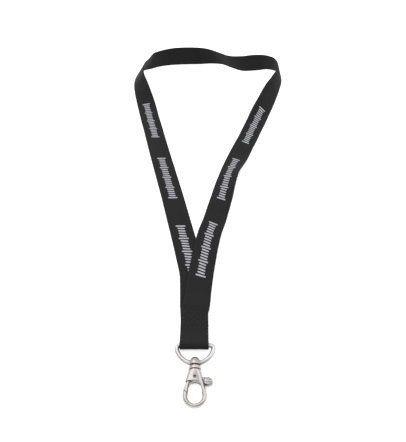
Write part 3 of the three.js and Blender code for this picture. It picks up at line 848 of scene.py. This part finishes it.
# %% [markdown]
# The lever.
# One casting again: the gate that closes the loop, a flat hub that turns between the cheeks, and a
# thumb pad that sticks out on the right. The pad is pulled up towards the ring and the gate swings
# in. Two grooves along the pad keep the thumb from slipping.

# %% Shape the lever
HUB_RADIUS = 0.00195
PAD_LONG = 0.0056
PAD_START = 0.0064
PAD_HALF = 0.0025
PAD_RINGS = 24
GROOVE_LEVELS = (-0.0011, -0.0033)
GROOVE_RADIUS = 0.0007
GROOVE_DEPTH = 0.0004
GROOVE_FROM = 0.0074
GROOVE_LONG = 0.0052
GROOVE_DROP = 0.0005
GROOVE_CURVE = 0.0008
PAD_ROOT_TOP = 0.0001
PAD_ROOT_BOTTOM = -0.0050
PAD_LAST_RING = 0.4
SPRING_ROOM = 0.00183

arch_inside = arc(OPENING_TOP, OPENING_TOP_RADIUS, 176, 65, 18)
hub_plate = blank("hub_plate", [
    (0, HUB_RADIUS), (-0.0019, 0.0014), (-0.0051, -0.0018), (-0.0054, -0.0036), (-0.0050, -0.0052),
] + arch_inside + [
    (0.0032, -0.0032), (0.0045, -0.0037), (0.0075, -0.0037), (0.0075, 0.0002), (0.0019, 0.0012),
], -LEVER_HALF, LEVER_HALF)
hub = pin("hub", HUB_RADIUS, -LEVER_HALF, LEVER_HALF)


def pad_place(turn, ring):
    """A blunt thumb tab: narrower at its root, with a round end."""
    share = ring / PAD_RINGS
    reach = np.sin(share * math.pi / 2) ** 0.8
    end = np.clip(1 - reach**6, 0, 1) ** 0.5
    root = np.clip(share / 0.3, 0, 1)
    top = PAD_ROOT_TOP + 0.0009 * np.sin(root * math.pi / 2) - 0.0013 * reach**2
    bottom = PAD_ROOT_BOTTOM - 0.0003 * np.sin(root * math.pi / 2)
    middle = (top + bottom) / 2
    closing = np.where(ring == PAD_RINGS, PAD_LAST_RING, 1)
    half_tall = (top - bottom) / 2 * (0.25 + 0.75 * end) * closing
    thick = PAD_HALF * (0.15 + 0.85 * end) * closing
    y, z = softly_squared(turn, 2.5)
    out = PAD_START + PAD_LONG * reach
    places = [rivet.x + out, rivet.y + middle + y * half_tall, rivet.z + z * thick]
    return np.stack(places, axis=1)


pad = shaped_rod("pad", 48, PAD_RINGS, pad_place)
grooves = []
for level in GROOVE_LEVELS:
    for side in (-1, 1):
        reach = np.linspace(0, 1, 8)
        height = side * (PAD_HALF + GROOVE_RADIUS - GROOVE_DEPTH - GROOVE_CURVE * reach**3)
        out = rivet.x + GROOVE_FROM + GROOVE_LONG * reach
        places = np.stack([out, rivet.y + level - GROOVE_DROP * reach, rivet.z + height], axis=1)
        grooves.append(swept("groove", places, GROOVE_RADIUS, GROOVE_RADIUS, sides=20))
combine(pad, grooves, "DIFFERENCE")
lever = combine(gate, [hub_plate, hub, pad], "UNION")
spring_room = pin("spring_room", SPRING_ROOM, 0, LEVER_HALF + CUT_PAST)
hinge_hole = pin("hinge_hole", RIVET_RADIUS + RIVET_CLEARANCE, -CUTTER_REACH, CUTTER_REACH)
combine(lever, [spring_room, hinge_hole], "DIFFERENCE")
lever.name = "gate_lever"
cast(lever, voxel=0.00011, rounds=4)

# %% [markdown]
# The rivet and the spring.
# The rivet is a plain pin, dished at both ends where it was spread in its recess. The spring is a
# turn and a half of fine wire round it, with one leg against the body and one against the lever.

# %% Rivet and spring
RIVET_REACH = 0.0029
SPRING_WIRE = 0.00036
SPRING_RADIUS = 0.00135
SPRING_TURNS = 1.5
SPRING_PITCH = 0.00042
SPRING_LEG = 0.0009
LEG_SHARE = 0.12
SPRING_LIFT = 0.00025
SPRING_STEPS = 72

rivet_profile = [
    (0.0001, -RIVET_REACH + 0.00012), (0.00045, -RIVET_REACH + 0.00008), (0.0007, -RIVET_REACH),
    (RIVET_RADIUS, -RIVET_REACH + 0.00015), (RIVET_RADIUS, RIVET_REACH - 0.00015),
    (0.0007, RIVET_REACH), (0.00045, RIVET_REACH - 0.00008), (0.0001, RIVET_REACH - 0.00012),
]


def rivet_place(turn, ring):
    radius, height = np.array(rivet_profile)[ring].T
    return np.stack([radius * np.cos(turn), radius * np.sin(turn), height], axis=1) + np.array(rivet)


pivot_rivet = shaped_rod("pivot_rivet", 32, len(rivet_profile) - 1, rivet_place)
shade(pivot_rivet)


def spring_line():
    """The spring's wire, from one leg's end to the other's."""
    places = []
    for t in np.linspace(0, 1, SPRING_STEPS + 1):
        coil = min(max((t - LEG_SHARE) / (1 - 2 * LEG_SHARE), 0), 1)
        angle = math.pi - coil * SPRING_TURNS * 2 * math.pi
        before = max(0, LEG_SHARE - t) / LEG_SHARE
        after = max(0, t - 1 + LEG_SHARE) / LEG_SHARE
        straight = (before - after) * SPRING_LEG
        x = SPRING_RADIUS * math.cos(angle) - math.sin(angle) * straight
        y = SPRING_RADIUS * math.sin(angle) + math.cos(angle) * straight
        z = SPRING_LIFT + coil * SPRING_TURNS * SPRING_PITCH
        places.append((rivet.x + x, rivet.y + y, rivet.z + z))
    return places


gate_spring = swept("gate_spring", spring_line(), SPRING_WIRE / 2, SPRING_WIRE / 2, sides=12)
shade(gate_spring)
print("the rivet and the spring are in place")

# %% [markdown]
# Shader maths that reads like arithmetic.
# A pattern such as a weave is a sum of sines and masks. In the node editor that is a chain of Math
# nodes; here a small class wraps an output socket, so that each + or * adds the node. One more
# method adds any other node: its type, its settings, then what goes into its sockets.

# %% Shader maths
class Wired:
    """An output socket that can be added, multiplied and so on."""

    def __init__(self, finish, socket):
        self.finish = finish
        self.socket = socket

    def math(self, operation, *values):
        return self.finish.node("ShaderNodeMath", {"operation": operation}, dict(enumerate(values)))

    def __add__(self, other):
        return self.math("ADD", self, other)

    __radd__ = __add__

    def __sub__(self, other):
        return self.math("SUBTRACT", self, other)

    def __rsub__(self, other):
        return self.math("SUBTRACT", other, self)

    def __mul__(self, other):
        return self.math("MULTIPLY", self, other)

    __rmul__ = __mul__

    def __pow__(self, power):
        return self.math("POWER", self, power)

    def __gt__(self, other):
        return self.math("GREATER_THAN", self, other)

    def sine(self):
        return self.math("SINE", self)

    def size(self):
        return self.math("ABSOLUTE", self)

    def at_most(self, limit):
        return self.math("MINIMUM", self, limit)

    def at_least(self, limit):
        return self.math("MAXIMUM", self, limit)


class Finish:
    """A material with its nodes. Constants go straight on the shader's own sockets."""

    def __init__(self, name, **constants):
        self.material = bpy.data.materials.new(name)
        self.material.use_nodes = True
        self.tree = self.material.node_tree
        self.shader = self.tree.nodes["Principled BSDF"]
        for socket, value in constants.items():
            self.shader.inputs[socket.replace("_", " ")].default_value = value

    def node(self, kind, settings, sockets, output=0):
        made = self.tree.nodes.new(kind)
        for name, value in settings.items():
            setattr(made, name, value)
        for key, value in sockets.items():
            self.feed(made.inputs[key], value)
        return Wired(self, made.outputs[output])

    def feed(self, socket, value):
        if isinstance(value, Wired):
            self.tree.links.new(value.socket, socket)
        else:
            socket.default_value = value

    def mix(self, mask, dark, light):
        """A colour between two, by a mask from 0 to 1. Sockets 6 and 7 are the two colours."""
        return self.node("ShaderNodeMix", {"data_type": "RGBA"}, {0: mask, 6: dark, 7: light}, 2)

    def noise(self, place, scale, detail=2.0):
        sockets = {"Vector": place, "Scale": scale, "Detail": detail}
        return self.node("ShaderNodeTexNoise", {}, sockets)

    def split(self, vector):
        """The three parts of a vector."""
        made = self.tree.nodes.new("ShaderNodeSeparateXYZ")
        self.feed(made.inputs[0], vector)
        return [Wired(self, made.outputs[i]) for i in range(3)]

    def stretched(self, place, scale):
        return self.node("ShaderNodeMapping", {}, {"Vector": place, "Scale": scale})

    def on_object(self):
        return self.node("ShaderNodeTexCoord", {}, {}, 3)

    def on_cut(self):
        """The ribbon's own map, from 0 to 1 across and along the flat cut."""
        return self.node("ShaderNodeUVMap", {"uv_map": "cut"}, {})

    def painted_hollow_shade(self, reach):
        """Painted shade for a colour mask: 0 deep in a hollow and 1 in the open, from how much of the sky
        a point sees.
        """
        settings = {"samples": 8, "inside": False, "only_local": False}
        open_sky = self.node("ShaderNodeAmbientOcclusion", settings, {"Distance": reach}, 1)
        return open_sky ** 1.6

    def paint(self, colour=None, roughness=None, height=None, depth=0.0001):
        if colour is not None:
            self.feed(self.shader.inputs["Base Color"], colour)
        if roughness is not None:
            self.feed(self.shader.inputs["Roughness"], roughness)
        if height is not None:
            bump = self.node("ShaderNodeBump", {}, {"Height": height, "Distance": depth, "Strength": 1.0})
            self.feed(self.shader.inputs["Normal"], bump)
        return self.material


# %% [markdown]
# Woven black polyester.
# Fine threads run along the ribbon and thicker ones cross it, so it has faint ribs across its width
# and a denser band at each woven edge. All of it is drawn on the ribbon's own map, so the ribs
# turn and fold with the cloth. The colour is a soft black that varies a little from thread to thread.

# %% Ribbon cloth
RIB_PITCH = 0.0009
THREAD_PITCH = 0.00055
SELVEDGE = 0.0016


def ribbon_cloth():
    cloth = Finish("black_ribbon", Specular_IOR_Level=0.2, Sheen_Weight=0.06, Sheen_Roughness=0.4)
    across_share, along_share, _ = cloth.split(cloth.on_cut())
    ribs = (along_share * (2 * math.pi * strap_length / RIB_PITCH)).sine()
    threads = (across_share * (2 * math.pi * STRAP_WIDTH / THREAD_PITCH)).sine()
    crossing = ribs * threads
    from_middle = (across_share - 0.5).size() * STRAP_WIDTH
    edge_band = from_middle > (STRAP_WIDTH / 2 - SELVEDGE)
    off_line = (from_middle - (STRAP_WIDTH / 2 - SELVEDGE)).size()
    edge_line = 1 - (off_line * 5000).at_most(1.0)
    place = cloth.on_object()
    drift = cloth.noise(place, 38.0)
    fuzz = cloth.noise(place, 2600.0, 1.0)
    lightness = 0.20 + crossing * 0.10 + ribs * 0.12 + drift * 0.30 + fuzz * 0.22 + edge_band * 0.08
    colour = cloth.mix(lightness, (0.0035, 0.0035, 0.0038, 1), (0.016, 0.016, 0.0172, 1))
    height = ribs * 0.5 + crossing * 0.35 + edge_band * 0.5 - edge_line * 0.6 + fuzz * 0.3
    return cloth.paint(colour, 0.70 + fuzz * 0.20, height, 0.00007)


def sewing_thread():
    thread = Finish("black_thread", Specular_IOR_Level=0.3, Sheen_Weight=0.04)
    x, y, z = thread.split(thread.on_object())
    plies = ((x + y) * (2 * math.pi / 0.00032)).sine()
    lightness = 0.45 + plies * 0.3
    colour = thread.mix(lightness, (0.004, 0.004, 0.0045, 1), (0.020, 0.020, 0.0215, 1))
    return thread.paint(colour, 0.5 + plies * 0.08, plies, 0.00004)


def screen_ink():
    ink = Finish("silver_grey_ink", Specular_IOR_Level=0.4)
    place = ink.on_object()
    grain = ink.noise(place, 1500.0, 2.0)
    patches = ink.noise(place, 160.0, 2.0)
    thin = grain * 0.65 + patches * 0.35
    colour = ink.mix(thin, (0.20, 0.20, 0.225, 1), (0.50, 0.50, 0.545, 1))
    return ink.paint(colour, 0.48 + grain * 0.2, grain, 0.00003)


ribbon.data.materials.append(ribbon_cloth())
box_stitches.data.materials.append(sewing_thread())
ribbon_print.data.materials.append(screen_ink())
print("the soft pieces have their finishes")

# %% [markdown]
# Nickel plate.
# The ring is bright wire, with fine lines drawn along it. The castings are softer: tumbled, so that
# they have a slight orange-peel skin, small scuffs and cloudy patches of shine. Edges that rub are
# brighter. The hollows are painted darker as shade, by how little of the sky they see.

# %% Metals
def nickel_wire():
    plate = Finish("bright_nickel_wire", Metallic=1.0)
    place = plate.on_object()
    drawn = plate.noise(plate.stretched(place, (300.0, 300.0, 2600.0)), 1.0, 3.0)
    clouds = plate.noise(place, 260.0, 2.0)
    bright = plate.mix(clouds, (0.42, 0.415, 0.41, 1), (0.54, 0.53, 0.525, 1))
    # Painted shade: the wire's colour goes darker where it sees little of the sky.
    colour = plate.mix(plate.painted_hollow_shade(0.003), (0.24, 0.23, 0.22, 1), bright)
    return plate.paint(colour, 0.18 + drawn * 0.12 + clouds * 0.10, drawn * 0.5 + clouds * 0.5, 0.00002)


def cast_nickel():
    plate = Finish("tumbled_nickel", Metallic=1.0)
    place = plate.on_object()
    peel = plate.noise(place, 900.0, 2.0)
    clouds = plate.noise(place, 210.0, 3.0)
    scuffs = plate.noise(plate.stretched(place, (900.0, 5200.0, 900.0)), 1.0, 4.0)
    pointed = plate.node("ShaderNodeNewGeometry", {}, {}, 7)
    edges = (pointed - 0.53) * 6.0
    worn = edges.at_least(0.0).at_most(1.0)
    plain = plate.mix(clouds, (0.35, 0.33, 0.318, 1), (0.49, 0.465, 0.448, 1))
    rubbed = plate.mix(worn * 0.5, plain, (0.60, 0.58, 0.56, 1))
    # Painted shade: the castings go nearly black in the slot, under the arch and in other hollows that see
    # little sky.
    colour = plate.mix(plate.painted_hollow_shade(0.005), (0.045, 0.04, 0.036, 1), rubbed)
    rough = 0.15 + clouds * 0.16 + scuffs * 0.08
    return plate.paint(colour, rough, peel * 0.6 + scuffs * 0.4, 0.00002)


def oiled_steel():
    steel = Finish("oiled_steel", Metallic=1.0)
    place = steel.on_object()
    stains = steel.noise(place, 1400.0, 3.0)
    colour = steel.mix(stains, (0.10, 0.095, 0.09, 1), (0.24, 0.23, 0.22, 1))
    return steel.paint(colour, 0.30 + stains * 0.2, stains, 0.00002)


casting = cast_nickel()
steel = oiled_steel()
ring_wire.data.materials.append(nickel_wire())
for piece in (swivel_eye, hook_body, lever):
    piece.data.materials.append(casting)
for piece in (pivot_rivet, gate_spring):
    piece.data.materials.append(steel)
print("the metals are plated")

# %% [markdown]
# The table and the light.
# The floor is a plain pale sheet that glows a little, so it looks white without strong lights.
# Three large soft lights stand round it. The sky is dark low down in front, bright at the sides and
# behind, and dimmer overhead: bright metal shows what stands round it, and a plain white room would
# leave it with no dark edges and no shape. The camera itself sees plain pale grey in place of the sky.

# %% Floor, lights and sky
FLOOR_SIZE = 12.0
FLOOR_COLOUR = (0.92, 0.92, 0.92, 1)
FLOOR_DROP = 0.0001
FLOOR_GLOW = 0.5
SKY_GREYS = ((0.25, 0.1), (0.55, 1.05), (0.72, 0.95), (1.0, 0.5))
SKY_FROM_Y = 0.42
SKY_FROM_Z = 0.6
SKY_LEVEL = 0.35

start_fresh()
bpy.ops.mesh.primitive_plane_add(size=FLOOR_SIZE, location=(0, 0, cad_box[0].z - FLOOR_DROP))
floor = settle(bpy.context.object, "table")
paper = Finish("pale_paper", Roughness=0.9, Specular_IOR_Level=0.1, Emission_Color=FLOOR_COLOUR,
               Emission_Strength=FLOOR_GLOW)
floor.data.materials.append(paper.paint(FLOOR_COLOUR))


def soft_light(name, place, size, power):
    lamp = bpy.data.objects.new(name, bpy.data.lights.new(name, "AREA"))
    lamp.data.size = size
    lamp.data.energy = power
    lamp.location = place
    lamp.rotation_euler = Vector(place).to_track_quat("Z", "Y").to_euler()
    bpy.context.scene.collection.objects.link(lamp)
    return lamp


soft_light("key", (-0.5, 0.6, 1.3), 1.4, 7.5)
soft_light("fill", (0.9, 0.1, 1.0), 1.0, 3.5)
soft_light("front", (-0.3, -0.9, 1.1), 1.0, 3.5)

sky = bpy.data.worlds.new("studio")
bpy.context.scene.world = sky
sky.use_nodes = True
sky_nodes = sky.node_tree.nodes
sky_links = sky.node_tree.links
backdrop = sky_nodes["Background"]
direction = sky_nodes.new("ShaderNodeTexCoord")
parts = sky_nodes.new("ShaderNodeSeparateXYZ")
ramp = sky_nodes.new("ShaderNodeValToRGB")
for position, grey in SKY_GREYS:
    stop = ramp.color_ramp.elements.new(position)
    stop.color = (grey, grey, grey, 1)
ramp.color_ramp.elements.remove(ramp.color_ramp.elements[0])
ramp.color_ramp.elements.remove(ramp.color_ramp.elements[-1])
seen = sky_nodes.new("ShaderNodeLightPath")
pale = sky_nodes.new("ShaderNodeMix")
pale.data_type = "RGBA"
pale.inputs[7].default_value = (0.95, 0.95, 0.95, 1)
sky_links.new(direction.outputs["Generated"], parts.inputs[0])
lean = sky_nodes.new("ShaderNodeMath")
lean.operation = "MULTIPLY_ADD"
lean.inputs[1].default_value = SKY_FROM_Y
rise = sky_nodes.new("ShaderNodeMath")
rise.operation = "MULTIPLY_ADD"
rise.inputs[1].default_value = SKY_FROM_Z
rise.inputs[2].default_value = SKY_LEVEL
sky_links.new(parts.outputs["Z"], rise.inputs[0])
sky_links.new(parts.outputs["Y"], lean.inputs[0])
sky_links.new(rise.outputs[0], lean.inputs[2])
sky_links.new(lean.outputs[0], ramp.inputs[0])
sky_links.new(seen.outputs["Is Camera Ray"], pale.inputs[0])
sky_links.new(ramp.outputs["Color"], pale.inputs[6])
sky_links.new(pale.outputs[2], backdrop.inputs["Color"])
backdrop.inputs["Strength"].default_value = 1.0
bpy.context.scene.view_settings.view_transform = "Standard"
print("three lights and a sky")

# %% [markdown]
# Each piece joins the frame.
# A piece moves with one of the frame's bodies and stands for a plain solid, which is then hidden.
# The plain solids take the same finishes.

# %% Ride and replace
for piece, body, slot_name, node in (
    (ribbon, "strap", "black_strap", "neck_strap"),
    (box_stitches, "strap", "black_thread", "end_stitching"),
    (ring_wire, "ring", "plated_wire", "d_ring"),
    (swivel_eye, "eye", "plated_casting", "swivel_eye"),
    (hook_body, "hook", "plated_casting", "hook_body"),
    (lever, "lever", "plated_casting", "trigger_lever"),
    (pivot_rivet, "hook", "dark_steel", "lever_rivet"),
    (gate_spring, "hook", "dark_steel", "lever_spring"),
):
    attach(piece, body)
    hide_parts(node)
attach(ribbon_print, "strap")
for node, finish in (
    ("neck_strap", ribbon.data.materials[0]), ("end_stitching", box_stitches.data.materials[0]),
    ("d_ring", ring_wire.data.materials[0]), ("swivel_eye", casting), ("hook_body", casting),
    ("trigger_lever", casting), ("lever_rivet", steel), ("lever_spring", steel),
):
    frame["nodes"][node].data.materials.clear()
    frame["nodes"][node].data.materials.append(finish)
